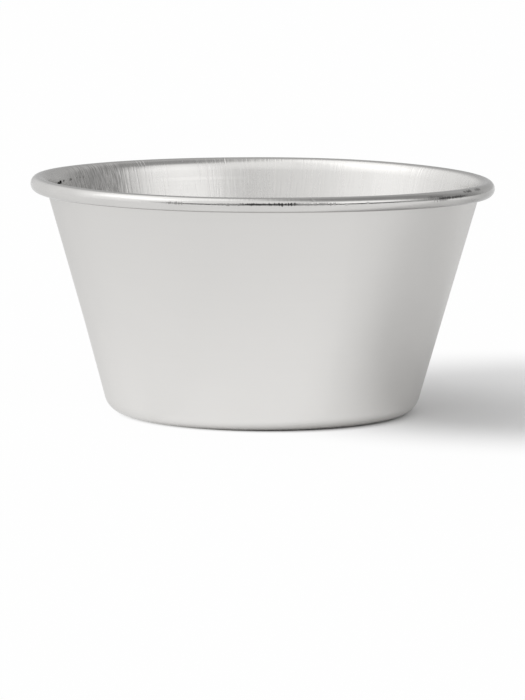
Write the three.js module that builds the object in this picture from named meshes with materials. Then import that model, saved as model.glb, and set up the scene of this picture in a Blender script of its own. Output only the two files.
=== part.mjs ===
// Individual pudding mould: a tapered cup drawn from one aluminium blank, with its edge curled outwards
// into a rolled rim. Millimetres, +Z up, origin at the centre of the base where the mould stands.
import * as THREE from "three";

// Driving dimensions
const RIM_DIAMETER = 90; // over the rolled rim
const HEIGHT = 46; // from the table to the crest of the rim
const BASE_DIAMETER = 59.7; // where the wall's outer line would meet the table
const WALL_TAPER = THREE.MathUtils.degToRad(15.8); // lean of the wall away from the axis
const SHEET = 0.8; // thickness of the aluminium, the same all over
const CORNER_RADIUS = 4; // outside of the bend between base and wall
const CURL_RADIUS = 1.42; // outside of the rolled rim
const FLARE_RADIUS = 1.95; // bend in which the wall turns out into the roll
const EASE_RADIUS = 8; // softer bend with which the wall starts to turn out, just below the flare
const EASE_ANGLE = THREE.MathUtils.degToRad(10); // how far the sheet turns in that softer bend
const TUCK_ANGLE = THREE.MathUtils.degToRad(50); // how far the sheet's edge passes the roll's lowest point

// Facets
const TURN_SEGMENTS = 72;
const CORNER_STEPS = 6;
const EASE_STEPS = 3;
const FLARE_STEPS = 5;
const ROLL_TOP_STEPS = 6;
const ROLL_TUCK_STEPS = 9;

const ALUMINIUM = { color: 0xc9c8c5, roughness: 0.34, metalness: 1 };

// A point on the circle round centre, in the (radius, height) plane, at an angle from the outward direction.
function onCircle(centre, radius, angle) {
  return new THREE.Vector2(
    centre.x + radius * Math.cos(angle),
    centre.y + radius * Math.sin(angle),
  );
}

// Points along an arc, both ends included.
function arc(centre, radius, from, to, steps) {
  return Array.from({ length: steps + 1 }, (_, i) =>
    onCircle(centre, radius, from + ((to - from) * i) / steps),
  );
}

// The bend between base and wall touches the table line and the wall's outer line.
function cornerCentre() {
  const wallRadius = BASE_DIAMETER / 2 + CORNER_RADIUS * Math.tan(WALL_TAPER);
  return new THREE.Vector2(
    wallRadius - CORNER_RADIUS / Math.cos(WALL_TAPER),
    CORNER_RADIUS,
  );
}

// The roll's widest point is the rim's radius, and its crest is the mould's height.
function curlCentre() {
  return new THREE.Vector2(RIM_DIAMETER / 2 - CURL_RADIUS, HEIGHT - CURL_RADIUS);
}

// The flare ends at the crest, straight above its own centre.
function flareCentre() {
  return new THREE.Vector2(RIM_DIAMETER / 2 - CURL_RADIUS, HEIGHT - FLARE_RADIUS);
}

// The ease runs on smoothly into the flare at the angle where the two meet, and leaves along the wall.
function easeCentre(flare, meeting) {
  return onCircle(flare, FLARE_RADIUS - EASE_RADIUS, meeting);
}

// One face of the rolled rim, from its crest over its widest point to the sheet's edge. A point falls on the
// widest place, so the rim measures its full diameter.
function rollArc(centre, radius, crest, edge) {
  const widest = 0;
  return [
    ...arc(centre, radius, crest, widest, ROLL_TOP_STEPS),
    ...arc(centre, radius, widest, edge, ROLL_TUCK_STEPS).slice(1),
  ];
}

// Section of the sheet from the axis along its lower and outer face, round the edge tucked under the rim, and
// back along its upper and inner face to the axis.
function sheetSection() {
  const down = -Math.PI / 2;
  const crest = Math.PI / 2;
  const outOfWall = -WALL_TAPER;
  const intoCup = Math.PI - WALL_TAPER;
  const easeEnd = intoCup - EASE_ANGLE;
  const edge = down - TUCK_ANGLE;
  const corner = cornerCentre();
  const flare = flareCentre();
  const ease = easeCentre(flare, easeEnd);
  const curl = curlCentre();

  const outerFace = [
    new THREE.Vector2(0, 0),
    ...arc(corner, CORNER_RADIUS, down, outOfWall, CORNER_STEPS),
    ...arc(ease, EASE_RADIUS - SHEET, intoCup, easeEnd, EASE_STEPS),
    ...arc(flare, FLARE_RADIUS - SHEET, easeEnd, crest, FLARE_STEPS).slice(1),
    ...rollArc(curl, CURL_RADIUS - SHEET, crest, edge).slice(1),
  ];
  const innerFace = [
    ...rollArc(curl, CURL_RADIUS, crest, edge).reverse(),
    ...arc(flare, FLARE_RADIUS, crest, easeEnd, FLARE_STEPS).slice(1),
    ...arc(ease, EASE_RADIUS, easeEnd, intoCup, EASE_STEPS).slice(1),
    ...arc(corner, CORNER_RADIUS - SHEET, outOfWall, down, CORNER_STEPS),
    new THREE.Vector2(0, SHEET),
  ];
  return [...outerFace, ...innerFace];
}

// The one drawn piece: base, wall and rolled rim are the same sheet.
function mouldBody() {
  const geometry = new THREE.LatheGeometry(sheetSection(), TURN_SEGMENTS);
  geometry.rotateX(Math.PI / 2);
  const body = new THREE.Mesh(geometry, new THREE.MeshStandardMaterial(ALUMINIUM));
  body.name = "mould_body";
  return body;
}

const puddingMould = new THREE.Group();
puddingMould.add(mouldBody());

export default puddingMould;
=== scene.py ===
"""Looks of the pudding mould: a smooth aluminium shell, its finishes and marks of use, and a studio."""

import math
from collections import namedtuple

import bpy
from mathutils import Matrix, Vector


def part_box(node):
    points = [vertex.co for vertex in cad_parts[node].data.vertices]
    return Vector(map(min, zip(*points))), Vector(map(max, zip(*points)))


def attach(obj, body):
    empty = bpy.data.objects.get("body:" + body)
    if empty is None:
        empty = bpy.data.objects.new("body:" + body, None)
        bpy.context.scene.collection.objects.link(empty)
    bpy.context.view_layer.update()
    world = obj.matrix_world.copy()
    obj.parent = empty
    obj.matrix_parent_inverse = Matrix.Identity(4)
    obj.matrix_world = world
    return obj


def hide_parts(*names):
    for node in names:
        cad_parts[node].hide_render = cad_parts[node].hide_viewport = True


MM = 0.001

# Shell, in millimetres like all lengths below; the rim's radius and the height come from the mould's box in
# model.glb
BASE_DIAMETER = 59.7  # where the wall's outer line would meet the table
WALL_TAPER = math.radians(15.8)  # lean of the wall away from the axis
SHEET = 0.8
CORNER_RADIUS = 4.0  # outside of the bend between base and wall
CURL_RADIUS = 1.42  # outside of the rolled rim
FLARE_RADIUS = 1.95  # bend in which the wall turns out into the roll
EASE_RADIUS = 8.0  # softer bend with which the wall starts to turn out, just below the flare
EASE_ANGLE = math.radians(10)  # how far the sheet turns in that softer bend
TUCK_ANGLE = math.radians(50)  # how far the sheet's edge passes the roll's lowest point
EDGE_RADIUS = SHEET / 2  # the tucked edge is fully rounded

# Angles in the shell's section, from the outward direction
DOWN = -math.pi / 2
CREST = math.pi / 2
OUT_OF_WALL = -WALL_TAPER
INTO_CUP = math.pi - WALL_TAPER
EASE_END = INTO_CUP - EASE_ANGLE
EDGE_START = DOWN - TUCK_ANGLE + EDGE_RADIUS / (CURL_RADIUS - EDGE_RADIUS)

# Facets; the hidden ones are on the sheet's lower face, under the roll
TURN_SEGMENTS = 360
BASE_STEPS = 10
CORNER_STEPS = 14
WALL_STEPS = 36
EASE_STEPS = 8
FLARE_STEPS = 16
CURL_STEPS = 44
EDGE_STEPS = 10
HIDDEN_EASE_STEPS = 4
HIDDEN_FLARE_STEPS = 8
HIDDEN_CURL_STEPS = 24

# Unevenness of a used mould as (waves round it, size, phase); zero waves is the same all round
RADIUS_WAVES = ((1, 0.07, math.pi), (2, 0.05, 0.4), (5, 0.015, 2.1), (11, 0.006, 0.7))
HEIGHT_WAVES = (
    (0, 0.22, math.pi),
    (1, 0.24, math.pi),
    (2, 0.07, math.pi),
    (3, 0.10, 2.88),
    (7, 0.012, 4.0),
)
WALL_WAVES = ((0, 0.06, math.pi), (1, 0.11, 0.0), (2, 0.06, math.pi))
HANG_WAVES = ((0, 0.11, 0.0), (1, 0.05, 0.0), (2, 0.09, 0.0))
WALL_HEIGHTS = (2.0, 18.0)  # where the wall starts to lean, and where it leans in full
ROLL_RADII = (41.8, 43.0)  # where the roll starts to hang, and where it hangs in full

# Camera: the photograph's height in pixels, and the view fitted to the mould's outline
FRAME_HEIGHT = 700
FOCAL_PIXELS = 4561.6
OPTICAL_CENTRE_ROW = 297.4
CAMERA_BACK = 882.7
CAMERA_UP = 125.3
AIM_HEIGHT = 22.2
CAMERA_ROLL = math.radians(0.25)
SENSOR = 36.0

# Metal: its own colour and that at a grazing angle, brightness with painted light on the outer wall, and
# roughness from smooth to dull
METAL_COLOUR = (0.715, 0.706, 0.691)
GRAZING_TINT = (0.80, 0.80, 0.80)
# Painted light: the outer wall is painted brighter at the base than at the rim, for the bright floor it
# reflects there
SATIN_PAINTED_LIGHT = (1.11, 1.00)  # at the base and at the rim
ROLL_BRIGHTNESS = 0.90
SATIN_ROUGHNESS = (0.33, 0.42)
BRUSHED_ROUGHNESS = (0.20, 0.34)
ROLL_ROUGHNESS = (0.12, 0.22)
DARK_MARK_ROUGHNESS = 0.7

# Where one finish passes into the next, by distance from the axis
WALL_FROM = (25.5, 28.5)
POLISHED_FROM = (42.3, 43.7)
CREST_FROM = (41.6, 42.0)
DARK_LINES_FROM = (43.5, 43.9)

# Patterns wrapped round the mould as (width, height, shift that sets it apart, detail)
NOISE_RADIUS = 42.0  # distance from the axis at which the widths are true
NOISE_MIDDLE = 0.5  # level about which noise varies
NOISE_ROUGHNESS = 0.5  # of the detail, where a pattern has none of its own
DRAWING_LINES = (60.0, 0.35, 0.0, 3.0)
SMUDGES = (13.0, 9.0, 5.0, 3.0)
SCUFFS = (2.2, 0.5, 11.0, 2.0)
FINE_BRUSHING = (0.26, 5.0, 0.0, 3.0)
FINE_BRUSHING_ROUGHNESS = 0.6
STREAKS = (0.5, 7.0, 3.0, 2.0)
INNER_RINGS = (45.0, 0.5, 7.0, 3.0)
BROAD_STREAKS = (4.0, 40.0, 9.0, 2.0)
SCOURING = (0.3, 2.2, 27.0, 2.0)
CHATTER = (0.35, 1.4, 13.0, 2.0)
DENTS = (1.1, 0.7, 23.0, 1.0)
WEAR = (6.0, 1.2, 19.0, 3.0)
DARK_LINE_COMB = (0.24, 1.6, 31.0, 1.0)

# Rolling lines of the flat sheet, along X
GRAIN_LENGTH = 14.0
GRAIN_WIDTH = 0.22
GRAIN_DETAIL = 3.0

# Levels of a pattern between which its marks fade in
SCUFF_LEVELS = (0.70, 0.78)
SCRATCH_LEVELS = (0.50, 0.68)
DENT_LEVELS = (0.66, 0.74)
SCOURING_LEVELS = (0.36, 0.64)

# Shares of the second pattern where two are mixed, and how far the tone varies
LINES_IN_SATIN = 0.35
LINES_IN_SATIN_TONE = 0.3
STREAKS_IN_BRUSHING = 0.6
RINGS_IN_BRUSHING = 0.20
BROAD_IN_BRUSHED = 0.4
SATIN_SPREAD = 0.03
BRUSHED_SPREAD = 0.10
SCOURED_SPREAD = 0.21
ROLL_SPREAD = 0.07

# Relief: how far a pattern stands proud, or is sunk where it is below zero
DRAWING_RELIEF = 0.0012
SMUDGE_RELIEF = 0.02
SCUFF_RELIEF = 0.001
BRUSHING_RELIEF = 0.024
STREAK_RELIEF = 0.010
CREST_SCRATCH_RELIEF = -0.05
BROAD_RELIEF = 0.06
CHATTER_RELIEF = 0.022
DENT_RELIEF = -0.012

# Burnt-on specks inside the rim as (angle round the mould in degrees, height, size, darkness)
RESIDUE_SPOTS = (
    (167.2, 43.48, 0.36, 1.0),
    (165.2, 43.58, 0.40, 1.0),
    (162.4, 43.72, 0.26, 0.6),
    (157.4, 43.66, 0.30, 0.5),
    (153.6, 43.78, 0.24, 0.25),
    (151.6, 43.80, 0.24, 0.25),
    (149.8, 43.80, 0.26, 0.3),
)
RESIDUE_RADIUS = 41.17
RESIDUE_SQUEEZE = (1.0, 0.35, 1.0)  # makes a speck longer along Y
RESIDUE_EDGE = (1.5, 1.2)  # where a speck begins and is full, in its own sizes
RESIDUE_GRAIN = (2.5, 2.5, 4.0)  # features of the ragged edge in a millimetre
RESIDUE_DETAIL = 2.0
RESIDUE_COLOUR = (0.012, 0.011, 0.010)

# Dark stretches of the roll as (angle round the mould, half width in degrees, upward facing, darkness); the
# first three, at mid-height of the roll's front, are a painted reflection of the dark room round the camera,
# the others are nicks
NICKS_AND_PAINTED_LINE = (
    (-88.5, 8.5, 0.20, 1.0),
    (-78.0, 7.0, 0.20, 0.4),
    (-98.0, 4.0, 0.18, 0.3),
    (-111.5, 2.5, 0.16, 0.5),
    (-37.0, 7.5, 0.24, 0.9),
    (-43.5, 3.5, 0.46, 0.45),
    (-42.0, 3.0, 0.04, 0.35),
    (-29.5, 2.4, 0.70, 0.7),
    (-23.5, 2.2, 0.72, 0.5),
)
DARK_LINE_HALF_WIDTH = (0.145, 0.07)  # in upward facing, where a line begins and is full
DARK_LINE_FULL_SHARE = 0.6  # share of a stretch that is nicked in full
DARK_LINE_RAGGEDNESS = 0.6
NICKS_AND_PAINTED_LINE_COLOUR = (0.075, 0.072, 0.072)

# Painted shade on the lower, outer side of the roll at the right, for the shadowed floor it reflects there,
# by angle round the mould in degrees and upward facing
PAINTED_SHADE_MIDDLE = -7.0
PAINTED_SHADE_REACH = (30.0, 10.0)
PAINTED_SHADE_FACING = (0.35, 0.0)
PAINTED_SHADE_STRENGTH = 0.36
PAINTED_SHADE_COLOUR = (0.0, 0.0, 0.0)

# Pale ring rubbed into part of the inner wall
RING_HEIGHT = 41.95
RING_HALF_WIDTH = (0.45, 0.05)
RING_STRENGTH = 0.6
RING_MIDDLE = 108.0
RING_REACH = (17.0, 8.0)

# Scoured part of the inner wall, and scratches over the crest, by angle round the mould in degrees
SCOURED_MIDDLE = 144.5
SCOURED_REACH = (15.5, 7.0)
CREST_SCRATCHES = (126.9, 125.9, 124.8, 100.7)
CREST_SCRATCH_HALF_WIDTH = (0.20, 0.05)

# Room as (direction, cosine where a part begins, cosine where it is full, level); a later part covers others
ROOM_LEVEL = 0.68
ROOM_PARTS = (
    ((-0.82, -0.28, 0.48), 0.30, 0.92, 1.13),  # pale side, left
    ((-0.60, 0.05, 0.80), 0.75, 0.93, 1.36),  # pale ceiling, left
    ((-0.68, 0.70, 0.20), 0.76, 0.95, 1.00),  # pale wall, left and behind
    ((0.22, 0.78, 0.60), 0.78, 0.95, 0.54),  # dim wall behind
    ((0.93, 0.32, 0.20), 0.76, 0.98, 0.34),  # dark side, right
    ((0.54, 0.10, 0.84), 0.80, 0.95, 0.34),  # dark ceiling, right
    ((-0.10, -0.66, 0.75), 0.85, 0.98, 1.06),  # pale ceiling, front
    ((0.76, -0.60, 0.26), 0.75, 0.985, 1.42),  # pale screen, front right
)

# Dark space round the camera, by cosine from its direction and by the upward share of a direction
CAMERA_SIDE = (0.28, -0.96, 0.0)
CAMERA_SIDE_LEVEL = 0.03
CAMERA_SIDE_WIDTH = (0.10, 0.72)
CAMERA_SIDE_TOP = (0.35, 0.24)
CAMERA_SIDE_BOTTOM = (0.01, 0.09)

# Key light
KEY_DIRECTION = (-0.66, -0.12, 0.74)
KEY_DISTANCE = 900.0
KEY_SIZE = (620.0, 420.0)
KEY_LEVEL = 0.30

# Floor: pale paper, lifted to white outside the mould's shadow and the line where it stands
FLOOR_REACH = 10000.0
FLOOR_GAP = 0.02
FLOOR_COLOUR = (0.90, 0.90, 0.90)
FLOOR_ROUGHNESS = 0.9
FLOOR_LIFT = 0.97
SHADOW_CENTRE = (63.0, 18.0, 0.0)
SHADOW_REACH = (37.0, 81.0)
SHADOW_STRETCH = 0.3  # share that a distance to the right of the shadow's centre counts for
CONTACT_CENTRE = (1.6, -0.9, 0.0)
CONTACT_REACH = (26.5, 30.5)

# A place on the mould as node outputs: its point, direction from the axis, radius, height and upward facing
Place = namedtuple("Place", "point direction radius height upward")


def on_circle(centre, radius, angle):
    """A point on a circle, at an angle from the first axis of its plane."""
    return (centre[0] + radius * math.cos(angle), centre[1] + radius * math.sin(angle))


def arc(centre, radius, start, end, steps):
    """Points along an arc, both ends included."""
    return [on_circle(centre, radius, start + (end - start) * i / steps) for i in range(steps + 1)]


def between(start, end, steps):
    """Points strictly between two points."""
    return [
        (start[0] + (end[0] - start[0]) * i / steps, start[1] + (end[1] - start[1]) * i / steps)
        for i in range(1, steps)
    ]


def bend_centres(rim_radius, top):
    """Centres of the section's bends as (radius, height): corner, ease, flare and curl."""
    wall_radius = BASE_DIAMETER / 2 + CORNER_RADIUS * math.tan(WALL_TAPER)
    corner = (wall_radius - CORNER_RADIUS / math.cos(WALL_TAPER), CORNER_RADIUS)
    flare = (rim_radius - CURL_RADIUS, top - FLARE_RADIUS)
    ease = on_circle(flare, FLARE_RADIUS - EASE_RADIUS, EASE_END)
    curl = (rim_radius - CURL_RADIUS, top - CURL_RADIUS)
    return corner, ease, flare, curl


def outer_face(corner, ease, flare, curl):
    """The sheet's lower and outer face, from the axis to its edge tucked under the rim."""
    outer_corner = arc(corner, CORNER_RADIUS, DOWN, OUT_OF_WALL, CORNER_STEPS)
    hidden_ease = arc(ease, EASE_RADIUS - SHEET, INTO_CUP, EASE_END, HIDDEN_EASE_STEPS)
    hidden_flare = arc(flare, FLARE_RADIUS - SHEET, EASE_END, CREST, HIDDEN_FLARE_STEPS)
    hidden_curl = arc(curl, CURL_RADIUS - SHEET, CREST, EDGE_START, HIDDEN_CURL_STEPS)
    return (
        [(0.0, 0.0)]
        + between((0.0, 0.0), outer_corner[0], BASE_STEPS)
        + outer_corner
        + between(outer_corner[-1], hidden_ease[0], WALL_STEPS)
        + hidden_ease
        + hidden_flare[1:]
        + hidden_curl[1:]
    )


def inner_face(corner, ease, flare, curl):
    """The rounded edge, then the sheet's upper and inner face over the roll and down to the axis."""
    edge_centre = on_circle(curl, CURL_RADIUS - EDGE_RADIUS, EDGE_START)
    edge = arc(edge_centre, EDGE_RADIUS, EDGE_START - math.pi, EDGE_START, EDGE_STEPS)
    shown_curl = arc(curl, CURL_RADIUS, EDGE_START, CREST, CURL_STEPS)
    shown_flare = arc(flare, FLARE_RADIUS, CREST, EASE_END, FLARE_STEPS)
    shown_ease = arc(ease, EASE_RADIUS, EASE_END, INTO_CUP, EASE_STEPS)
    inner_corner = arc(corner, CORNER_RADIUS - SHEET, OUT_OF_WALL, DOWN, CORNER_STEPS)
    return (
        edge[1:]
        + shown_curl[1:]
        + shown_flare[1:]
        + shown_ease[1:]
        + between(shown_ease[-1], inner_corner[0], WALL_STEPS)
        + inner_corner
        + between(inner_corner[-1], (0.0, SHEET), BASE_STEPS)
        + [(0.0, SHEET)]
    )


def wobble(angle, waves):
    """A smooth unevenness round the mould, as a sum of a few waves of (count, size, phase)."""
    return sum(size * math.cos(count * angle + phase) for count, size, phase in waves)


def ramp(value, low, high):
    """Rises straight from 0 at low to 1 at high."""
    return min(max((value - low) / (high - low), 0.0), 1.0)


def out_of_true(radius, height, angle, top):
    """A used shell's small departures from a true turning: uneven rim, leaning wall, roll hanging open."""
    rim_share = max(height / top, 0.0) ** 2
    roll_share = ramp(radius, *ROLL_RADII)
    wall_share = ramp(height, *WALL_HEIGHTS) * (1 - roll_share)
    hang_share = roll_share * (top - height) / (2 * CURL_RADIUS)
    radius += rim_share * wobble(angle, RADIUS_WAVES) + wall_share * wobble(angle, WALL_WAVES)
    height += rim_share * wobble(angle, HEIGHT_WAVES) - hang_share * wobble(angle, HANG_WAVES)
    return radius, height


def turned_vertices(section, top):
    """A section's points turned about Z, in metres. The section starts and ends on the axis."""
    vertices = [(0.0, 0.0, section[0][1] * MM)]
    for ring_radius, ring_height in section[1:-1]:
        for k in range(TURN_SEGMENTS):
            angle = 2 * math.pi * k / TURN_SEGMENTS
            radius, height = out_of_true(ring_radius, ring_height, angle, top)
            x, y = on_circle((0.0, 0.0), radius, angle)
            vertices.append((x * MM, y * MM, height * MM))
    vertices.append((0.0, 0.0, section[-1][1] * MM))
    return vertices


def turned_faces(ring_count):
    """Faces of a turned section in bands: a fan at each end, and four-sided faces from ring to ring."""
    around = [(k, (k + 1) % TURN_SEGMENTS) for k in range(TURN_SEGMENTS)]
    starts = [1 + ring * TURN_SEGMENTS for ring in range(ring_count)]
    last = 1 + ring_count * TURN_SEGMENTS
    bands = [[(0, starts[0] + after, starts[0] + k) for k, after in around]]
    for low, high in zip(starts, starts[1:]):
        bands.append([(low + k, low + after, high + after, high + k) for k, after in around])
    bands.append([(starts[-1] + k, starts[-1] + after, last) for k, after in around])
    return bands


def make_shell(rim_radius, top):
    """The mould as one smooth shell: material 0 on its outer face, 1 on its inner face and rolled rim."""
    bends = bend_centres(rim_radius, top)
    outer = outer_face(*bends)
    section = outer + inner_face(*bends)
    bands = turned_faces(len(section) - 2)
    faces = [face for band in bands for face in band]
    materials = [int(i >= len(outer) - 1) for i, band in enumerate(bands) for _ in band]
    mesh = bpy.data.meshes.new("mould_shell")
    mesh.from_pydata(turned_vertices(section, top), [], faces)
    mesh.polygons.foreach_set("use_smooth", [True] * len(faces))
    mesh.polygons.foreach_set("material_index", materials)
    mesh.update()
    shell = bpy.data.objects.new("mould_shell", mesh)
    bpy.context.scene.collection.objects.link(shell)
    return shell


def join(tree, value, socket):
    """Links an output to a socket, or sets the socket to a number or a tuple."""
    if isinstance(value, bpy.types.NodeSocket):
        tree.links.new(value, socket)
    else:
        socket.default_value = value


def math_node(tree, operation, first, second=0.0):
    """A sum, product or other operation on one or two numbers."""
    node = tree.nodes.new("ShaderNodeMath")
    node.operation = operation
    join(tree, first, node.inputs[0])
    join(tree, second, node.inputs[1])
    return node.outputs[0]


def vector_node(tree, operation, first, second=(0, 0, 0)):
    """An operation on one or two vectors, which gives a vector or a number."""
    node = tree.nodes.new("ShaderNodeVectorMath")
    node.operation = operation
    join(tree, first, node.inputs[0])
    join(tree, second, node.inputs[1])
    return node.outputs["Value" if operation in ("DOT_PRODUCT", "LENGTH", "DISTANCE") else "Vector"]


def combine(tree, x, y, z):
    """A vector from three numbers."""
    node = tree.nodes.new("ShaderNodeCombineXYZ")
    for value, socket in zip((x, y, z), node.inputs):
        join(tree, value, socket)
    return node.outputs[0]


def separate(tree, vector):
    """The three numbers of a vector."""
    node = tree.nodes.new("ShaderNodeSeparateXYZ")
    tree.links.new(vector, node.inputs[0])
    return node.outputs


def smooth_step(tree, value, low, high):
    """Rises from 0 to 1 as value goes from low to high, or falls where low is above high."""
    node = tree.nodes.new("ShaderNodeMapRange")
    node.interpolation_type = "SMOOTHSTEP"
    join(tree, min(low, high), node.inputs["From Min"])
    join(tree, max(low, high), node.inputs["From Max"])
    join(tree, float(low > high), node.inputs["To Min"])
    join(tree, float(low < high), node.inputs["To Max"])
    tree.links.new(value, node.inputs["Value"])
    return node.outputs["Result"]


def mix_value(tree, factor, first, second):
    """The first number at factor 0, the second at factor 1. Sockets 2 and 3 take numbers."""
    node = tree.nodes.new("ShaderNodeMix")
    node.data_type = "FLOAT"
    join(tree, factor, node.inputs[0])
    join(tree, first, node.inputs[2])
    join(tree, second, node.inputs[3])
    return node.outputs[0]


def mix_colour(tree, factor, first, second):
    """The first colour at factor 0, the second at factor 1. Sockets 6 and 7 take colours."""
    node = tree.nodes.new("ShaderNodeMix")
    node.data_type = "RGBA"
    join(tree, factor, node.inputs[0])
    join(tree, first, node.inputs[6])
    join(tree, second, node.inputs[7])
    return node.outputs[2]


def noise(tree, vector, detail, roughness=NOISE_ROUGHNESS):
    """Noise whose features are about one unit in size, from 0 to 1 around its middle."""
    node = tree.nodes.new("ShaderNodeTexNoise")
    tree.links.new(vector, node.inputs["Vector"])
    join(tree, 1.0, node.inputs["Scale"])
    join(tree, detail, node.inputs["Detail"])
    join(tree, roughness, node.inputs["Roughness"])
    return node.outputs[0]


def relief(tree, *layers):
    """A normal bent by layers of (pattern of 0 to 1, millimetres it stands for), one upon the other."""
    normal = None
    for pattern, depth in layers:
        node = tree.nodes.new("ShaderNodeBump")
        join(tree, 1.0, node.inputs["Strength"])
        join(tree, depth * MM, node.inputs["Distance"])
        tree.links.new(pattern, node.inputs["Height"])
        if normal:
            tree.links.new(normal, node.inputs["Normal"])
        normal = node.outputs[0]
    return normal


def in_millimetres(tree, coordinates):
    """A point of the object in millimetres, from its texture coordinates."""
    return vector_node(tree, "MULTIPLY", coordinates.outputs["Object"], (1 / MM, 1 / MM, 1 / MM))


def mould_place(tree):
    """The place on the mould that is being shaded."""
    coordinates = tree.nodes.new("ShaderNodeTexCoord")
    point = in_millimetres(tree, coordinates)
    outward = vector_node(tree, "MULTIPLY", point, (1, 1, 0))
    return Place(
        point=point,
        direction=vector_node(tree, "NORMALIZE", outward),
        radius=vector_node(tree, "LENGTH", outward),
        height=separate(tree, point)["Z"],
        upward=separate(tree, coordinates.outputs["Normal"])["Z"],
    )


def wrapped(tree, place, across, along, shift, detail, roughness=NOISE_ROUGHNESS):
    """Noise round the mould whose features are across millimetres wide and along millimetres tall."""
    turn_scale = NOISE_RADIUS / across
    around = vector_node(tree, "MULTIPLY", place.direction, (turn_scale, turn_scale, 0))
    up = combine(tree, shift, shift, math_node(tree, "DIVIDE", place.height, along))
    return noise(tree, vector_node(tree, "ADD", around, up), detail, roughness)


def sheet_grain(tree, place):
    """Straight rolling lines of the flat sheet."""
    stretched = vector_node(tree, "MULTIPLY", place.point, (1 / GRAIN_LENGTH, 1 / GRAIN_WIDTH, 0))
    return noise(tree, stretched, GRAIN_DETAIL)


def near_angle(tree, place, angle, outer, inner):
    """1 within inner degrees of an angle round the mould, 0 past outer degrees."""
    middle = (*on_circle((0, 0), 1.0, math.radians(angle)), 0.0)
    cosine = vector_node(tree, "DOT_PRODUCT", place.direction, middle)
    return smooth_step(tree, cosine, math.cos(math.radians(outer)), math.cos(math.radians(inner)))


def distance_from(tree, value, target):
    """How far a number is from a target."""
    return math_node(tree, "ABSOLUTE", math_node(tree, "SUBTRACT", value, target))


def metal(name):
    """A new metal material, its node tree and its shader."""
    material = bpy.data.materials.new(name)
    material.use_nodes = True
    shader = material.node_tree.nodes["Principled BSDF"]
    shader.inputs["Base Color"].default_value = (*METAL_COLOUR, 1)
    shader.inputs["Metallic"].default_value = 1
    shader.inputs["Specular Tint"].default_value = (*GRAZING_TINT, 1)
    return material, material.node_tree, shader


def toned(tree, tone, spread, brightness=1.0):
    """The metal's colour at a brightness, varied by a tone of 0 to 1."""
    dark = tuple(c * brightness * (1 - spread) for c in METAL_COLOUR)
    light = tuple(c * brightness * (1 + spread) for c in METAL_COLOUR)
    return mix_colour(tree, tone, (*dark, 1), (*light, 1))


def satin_outside(top):
    """Outer wall and underside: satin, with faint drawing lines, soft smudges and a few scuffs, and painted
    light: the colour is painted brighter towards the base, for the bright floor it reflects there.
    """
    material, tree, shader = metal("aluminium_outside")
    place = mould_place(tree)
    on_wall = smooth_step(tree, place.radius, *WALL_FROM)
    lines = mix_value(tree, on_wall, sheet_grain(tree, place), wrapped(tree, place, *DRAWING_LINES))
    smudges = wrapped(tree, place, *SMUDGES)
    scuffs = smooth_step(tree, wrapped(tree, place, *SCUFFS), *SCUFF_LEVELS)
    dull = math_node(tree, "MAXIMUM", mix_value(tree, LINES_IN_SATIN, smudges, lines), scuffs)
    tree.links.new(mix_value(tree, dull, *SATIN_ROUGHNESS), shader.inputs["Roughness"])
    tone = mix_value(tree, LINES_IN_SATIN_TONE, smudges, lines)
    # Painted light: the colour grows brighter from the rim down to the base, for the bright floor reflected
    # there
    painted_light_base, painted_light_rim = (toned(tree, tone, SATIN_SPREAD, level) for level in SATIN_PAINTED_LIGHT)
    painted_light_rise = smooth_step(tree, place.height, 0.0, top)
    tree.links.new(mix_colour(tree, painted_light_rise, painted_light_base, painted_light_rim), shader.inputs["Base Color"])
    normal = relief(tree, (lines, DRAWING_RELIEF), (smudges, SMUDGE_RELIEF), (scuffs, SCUFF_RELIEF))
    tree.links.new(normal, shader.inputs["Normal"])
    return material


def residue(tree, place):
    """A few burnt-on specks inside the rim on the left, 1 where the metal is black."""
    ragged = noise(tree, vector_node(tree, "MULTIPLY", place.point, RESIDUE_GRAIN), RESIDUE_DETAIL)
    black = 0.0
    for angle, height, size, darkness in RESIDUE_SPOTS:
        spot = (*on_circle((0, 0), RESIDUE_RADIUS, math.radians(angle)), height)
        offset = vector_node(tree, "SUBTRACT", place.point, spot)
        distance = vector_node(tree, "LENGTH", vector_node(tree, "MULTIPLY", offset, RESIDUE_SQUEEZE))
        reach = math_node(tree, "ADD", distance, math_node(tree, "MULTIPLY", ragged, size))
        speck = smooth_step(tree, reach, *(edge * size for edge in RESIDUE_EDGE))
        black = math_node(tree, "MAXIMUM", black, math_node(tree, "MULTIPLY", speck, darkness))
    return black


def nicks_and_painted_line(tree, place):
    """Ragged dark lines along the roll, 1 where the metal is dark: nicks, and at the front a painted
    reflection of the dark room round the camera.
    """
    comb = math_node(tree, "SUBTRACT", wrapped(tree, place, *DARK_LINE_COMB), NOISE_MIDDLE)
    ragged = math_node(tree, "MULTIPLY", comb, DARK_LINE_RAGGEDNESS)
    dark = 0.0
    for angle, half_width, facing, darkness in NICKS_AND_PAINTED_LINE:
        off_line = math_node(tree, "ADD", distance_from(tree, place.upward, facing), ragged)
        line = smooth_step(tree, off_line, *DARK_LINE_HALF_WIDTH)
        stretch = near_angle(tree, place, angle, half_width, DARK_LINE_FULL_SHARE * half_width)
        nicked_and_painted = math_node(tree, "MULTIPLY", line, math_node(tree, "MULTIPLY", stretch, darkness))
        dark = math_node(tree, "MAXIMUM", dark, nicked_and_painted)
    return math_node(tree, "MULTIPLY", dark, smooth_step(tree, place.radius, *DARK_LINES_FROM))


def painted_roll_shade(tree, place):
    """Painted shade on the outer side of the roll at the right, for the shadowed floor it reflects there;
    above 0 where the metal is dimmed.
    """
    outer_side = smooth_step(tree, place.upward, *PAINTED_SHADE_FACING)
    stretch = near_angle(tree, place, PAINTED_SHADE_MIDDLE, *PAINTED_SHADE_REACH)
    strength = math_node(tree, "MULTIPLY", stretch, PAINTED_SHADE_STRENGTH)
    return math_node(tree, "MULTIPLY", outer_side, strength)


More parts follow.
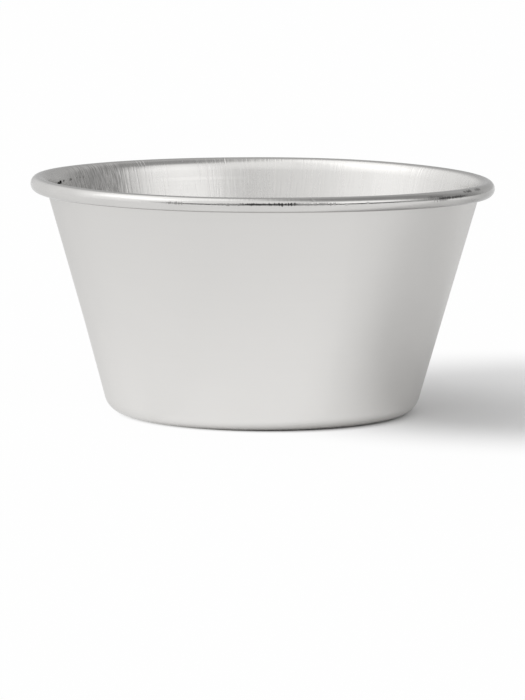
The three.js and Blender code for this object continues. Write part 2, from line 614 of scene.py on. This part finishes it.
def rubbed_ring(tree, place):
    """A faint pale ring on part of the inner wall, above 0 where the metal is rubbed bright."""
    ring = smooth_step(tree, distance_from(tree, place.height, RING_HEIGHT), *RING_HALF_WIDTH)
    stretch = near_angle(tree, place, RING_MIDDLE, *RING_REACH)
    return math_node(tree, "MULTIPLY", ring, math_node(tree, "MULTIPLY", stretch, RING_STRENGTH))


def crest_scratches(tree, place):
    """A few short scratches straight over the crest of the rim, 1 in the scratch."""
    scratched = 0.0
    for angle in CREST_SCRATCHES:
        scratch = near_angle(tree, place, angle, *CREST_SCRATCH_HALF_WIDTH)
        scratched = math_node(tree, "MAXIMUM", scratched, scratch)
    return math_node(tree, "MULTIPLY", scratched, smooth_step(tree, place.radius, *CREST_FROM))


def brushed_lines(tree, place, on_wall, streaks):
    """Fine lines inside: upright brushing and faint rings on the wall, rolling lines on the base."""
    fine = wrapped(tree, place, *FINE_BRUSHING, FINE_BRUSHING_ROUGHNESS)
    upright = mix_value(tree, STREAKS_IN_BRUSHING, fine, streaks)
    brushing = mix_value(tree, RINGS_IN_BRUSHING, upright, wrapped(tree, place, *INNER_RINGS))
    return mix_value(tree, on_wall, sheet_grain(tree, place), brushing)


def wall_colour(tree, place, dull):
    """Colour of the brushed inside, with its rubbed ring and its scoured part."""
    brushed = toned(tree, mix_value(tree, rubbed_ring(tree, place), dull, 1.0), BRUSHED_SPREAD)
    strokes = smooth_step(tree, wrapped(tree, place, *SCOURING), *SCOURING_LEVELS)
    scoured = near_angle(tree, place, SCOURED_MIDDLE, *SCOURED_REACH)
    return mix_colour(tree, scoured, brushed, toned(tree, strokes, SCOURED_SPREAD))


def roll_colour(tree, place, wear):
    """Colour of the polished roll, with painted shade on its outer side at the right."""
    polished = toned(tree, wear, ROLL_SPREAD, ROLL_BRIGHTNESS)
    # Painted shade: the roll's outer side at the right is dimmed towards black
    return mix_colour(tree, painted_roll_shade(tree, place), polished, (*PAINTED_SHADE_COLOUR, 1))


def inside_relief(tree, place, on_wall, on_roll, lines, streaks, broad):
    """Relief inside: brushing off the roll, scratches over the crest, chatter and dents on the roll."""
    off_roll = math_node(tree, "SUBTRACT", 1, on_roll)
    on_brushed = math_node(tree, "MULTIPLY", on_wall, off_roll)
    scratches = smooth_step(tree, streaks, *SCRATCH_LEVELS)
    dents = smooth_step(tree, wrapped(tree, place, *DENTS), *DENT_LEVELS)
    return relief(
        tree,
        (math_node(tree, "MULTIPLY", lines, off_roll), BRUSHING_RELIEF),
        (math_node(tree, "MULTIPLY", scratches, on_brushed), STREAK_RELIEF),
        (crest_scratches(tree, place), CREST_SCRATCH_RELIEF),
        (math_node(tree, "MULTIPLY", broad, off_roll), BROAD_RELIEF),
        (math_node(tree, "MULTIPLY", wrapped(tree, place, *CHATTER), on_roll), CHATTER_RELIEF),
        (math_node(tree, "MULTIPLY", dents, on_roll), DENT_RELIEF),
    )


def brushed_inside():
    """Inner wall, floor of the cup and rolled rim: brushed inside, polished and nicked on the roll, with a
    painted reflection of the dark room along the roll's front.
    """
    material, tree, shader = metal("aluminium_inside")
    place = mould_place(tree)
    on_wall = smooth_step(tree, place.radius, *WALL_FROM)
    on_roll = smooth_step(tree, place.radius, *POLISHED_FROM)
    streaks = wrapped(tree, place, *STREAKS)
    lines = brushed_lines(tree, place, on_wall, streaks)
    broad = mix_value(tree, on_wall, NOISE_MIDDLE, wrapped(tree, place, *BROAD_STREAKS))
    dull = mix_value(tree, BROAD_IN_BRUSHED, lines, broad)
    wear = wrapped(tree, place, *WEAR)
    black = residue(tree, place)
    nicked_and_painted = nicks_and_painted_line(tree, place)

    wall_roughness = mix_value(tree, dull, *BRUSHED_ROUGHNESS)
    roll_roughness = mix_value(tree, wear, *ROLL_ROUGHNESS)
    roughness = mix_value(tree, on_roll, wall_roughness, roll_roughness)
    dirt_and_painted_line = math_node(tree, "MAXIMUM", black, nicked_and_painted)
    tree.links.new(mix_value(tree, dirt_and_painted_line, roughness, DARK_MARK_ROUGHNESS), shader.inputs["Roughness"])

    colour = mix_colour(tree, on_roll, wall_colour(tree, place, dull), roll_colour(tree, place, wear))
    # Nicks, and at the roll's front a painted reflection of the dark room round the camera
    colour = mix_colour(tree, nicked_and_painted, colour, (*NICKS_AND_PAINTED_LINE_COLOUR, 1))
    colour = mix_colour(tree, black, colour, (*RESIDUE_COLOUR, 1))
    tree.links.new(colour, shader.inputs["Base Color"])

    normal = inside_relief(tree, place, on_wall, on_roll, lines, streaks, broad)
    tree.links.new(normal, shader.inputs["Normal"])
    return material


def make_camera():
    """The camera of the photograph, as fitted to the mould's outline."""
    data = bpy.data.cameras.new("camera")
    data.sensor_fit = "AUTO"
    data.sensor_width = SENSOR
    data.lens = FOCAL_PIXELS * SENSOR / FRAME_HEIGHT
    data.shift_y = (OPTICAL_CENTRE_ROW - FRAME_HEIGHT / 2) / FRAME_HEIGHT
    camera = bpy.data.objects.new("camera", data)
    bpy.context.scene.collection.objects.link(camera)
    camera.location = Vector((0, -CAMERA_BACK, CAMERA_UP)) * MM
    aim = Vector((0, 0, AIM_HEIGHT * MM)) - camera.location
    roll = Matrix.Rotation(CAMERA_ROLL, 3, "Z").to_quaternion()
    camera.rotation_mode = "QUATERNION"
    camera.rotation_quaternion = aim.to_track_quat("-Z", "Y") @ roll
    bpy.context.scene.camera = camera


def make_key_light():
    """A large soft light high on the left, aimed at the mould's foot."""
    data = bpy.data.lights.new("key_left", "AREA")
    data.shape = "RECTANGLE"
    data.size, data.size_y = (side * MM for side in KEY_SIZE)
    data.energy = KEY_LEVEL * math.pi * data.size * data.size_y
    light = bpy.data.objects.new("key_left", data)
    bpy.context.scene.collection.objects.link(light)
    light.location = Vector(KEY_DIRECTION).normalized() * KEY_DISTANCE * MM
    light.rotation_mode = "QUATERNION"
    light.rotation_quaternion = (-light.location).to_track_quat("-Z", "Y")


def camera_side(tree, direction):
    """The dark space round the camera, 1 where the room is darkest."""
    height = separate(tree, direction)["Z"]
    cosine = vector_node(tree, "DOT_PRODUCT", direction, CAMERA_SIDE)
    in_front = smooth_step(tree, cosine, *CAMERA_SIDE_WIDTH)
    below_top = smooth_step(tree, height, *CAMERA_SIDE_TOP)
    over_floor = smooth_step(tree, height, *CAMERA_SIDE_BOTTOM)
    return math_node(tree, "MULTIPLY", in_front, math_node(tree, "MULTIPLY", below_top, over_floor))


def make_world():
    """The room's brightness by direction: pale on the left, dark on the right and round the camera."""
    world = bpy.data.worlds.new("studio")
    bpy.context.scene.world = world
    world.use_nodes = True
    tree = world.node_tree
    direction = tree.nodes.new("ShaderNodeTexCoord").outputs["Generated"]
    level = ROOM_LEVEL
    for centre, start, full, part_level in ROOM_PARTS:
        cosine = vector_node(tree, "DOT_PRODUCT", direction, tuple(Vector(centre).normalized()))
        level = mix_value(tree, smooth_step(tree, cosine, start, full), level, part_level)
    level = mix_value(tree, camera_side(tree, direction), level, CAMERA_SIDE_LEVEL)
    tree.links.new(level, tree.nodes["Background"].inputs["Color"])


def shadow_distance(tree, point):
    """Distance from the centre of the mould's shadow, which is stretched to the right."""
    x, y, _ = separate(tree, vector_node(tree, "SUBTRACT", point, SHADOW_CENTRE))
    on_left = math_node(tree, "MINIMUM", x, 0.0)
    on_right = math_node(tree, "MULTIPLY", math_node(tree, "MAXIMUM", x, 0.0), SHADOW_STRETCH)
    offset = combine(tree, math_node(tree, "ADD", on_left, on_right), y, 0.0)
    return vector_node(tree, "LENGTH", offset)


def floor_lift(tree):
    """How far the paper is lifted to white, where the camera sees it, in metal and through glass too."""
    point = in_millimetres(tree, tree.nodes.new("ShaderNodeTexCoord"))
    out_of_shadow = smooth_step(tree, shadow_distance(tree, point), *SHADOW_REACH)
    from_contact = vector_node(tree, "DISTANCE", point, CONTACT_CENTRE)
    off_contact = smooth_step(tree, from_contact, *CONTACT_REACH)
    lift = math_node(tree, "MULTIPLY", math_node(tree, "MULTIPLY", out_of_shadow, FLOOR_LIFT), off_contact)
    path = tree.nodes.new("ShaderNodeLightPath").outputs
    seen = math_node(tree, "MAXIMUM", path["Is Camera Ray"], path["Is Glossy Ray"])
    seen = math_node(tree, "MAXIMUM", seen, path["Is Transmission Ray"])
    return math_node(tree, "MULTIPLY", seen, lift)


def floor_paper():
    """Pale paper that keeps the mould's shadow and is white away from it."""
    material = bpy.data.materials.new("floor_paper")
    material.use_nodes = True
    tree = material.node_tree
    paper = tree.nodes["Principled BSDF"]
    paper.inputs["Base Color"].default_value = (*FLOOR_COLOUR, 1)
    paper.inputs["Roughness"].default_value = FLOOR_ROUGHNESS
    white = tree.nodes.new("ShaderNodeEmission")
    mix = tree.nodes.new("ShaderNodeMixShader")
    tree.links.new(floor_lift(tree), mix.inputs["Fac"])
    tree.links.new(paper.outputs[0], mix.inputs[1])
    tree.links.new(white.outputs[0], mix.inputs[2])
    tree.links.new(mix.outputs[0], tree.nodes["Material Output"].inputs["Surface"])
    return material


def make_floor():
    """A wide flat floor just under the mould."""
    mesh = bpy.data.meshes.new("floor")
    corners = [(-1, -1), (1, -1), (1, 1), (-1, 1)]
    vertices = [(x * FLOOR_REACH * MM, y * FLOOR_REACH * MM, -FLOOR_GAP * MM) for x, y in corners]
    mesh.from_pydata(vertices, [], [(0, 1, 2, 3)])
    mesh.materials.append(floor_paper())
    floor = bpy.data.objects.new("floor", mesh)
    bpy.context.scene.collection.objects.link(floor)


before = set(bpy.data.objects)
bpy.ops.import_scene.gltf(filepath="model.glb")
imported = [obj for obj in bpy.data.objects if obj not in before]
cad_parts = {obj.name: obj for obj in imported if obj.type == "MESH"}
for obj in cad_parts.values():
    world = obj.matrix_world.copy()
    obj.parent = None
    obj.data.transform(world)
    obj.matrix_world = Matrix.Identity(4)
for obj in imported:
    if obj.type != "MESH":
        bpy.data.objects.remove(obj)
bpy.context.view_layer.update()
_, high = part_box("mould_body")
top = high.z / MM
shell = make_shell(high.x / MM, top)
shell.data.materials.append(satin_outside(top))
shell.data.materials.append(brushed_inside())
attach(shell, "root")
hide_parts("mould_body")
make_camera()
make_world()
make_floor()
make_key_light()
bpy.context.scene.view_settings.view_transform = "Standard"
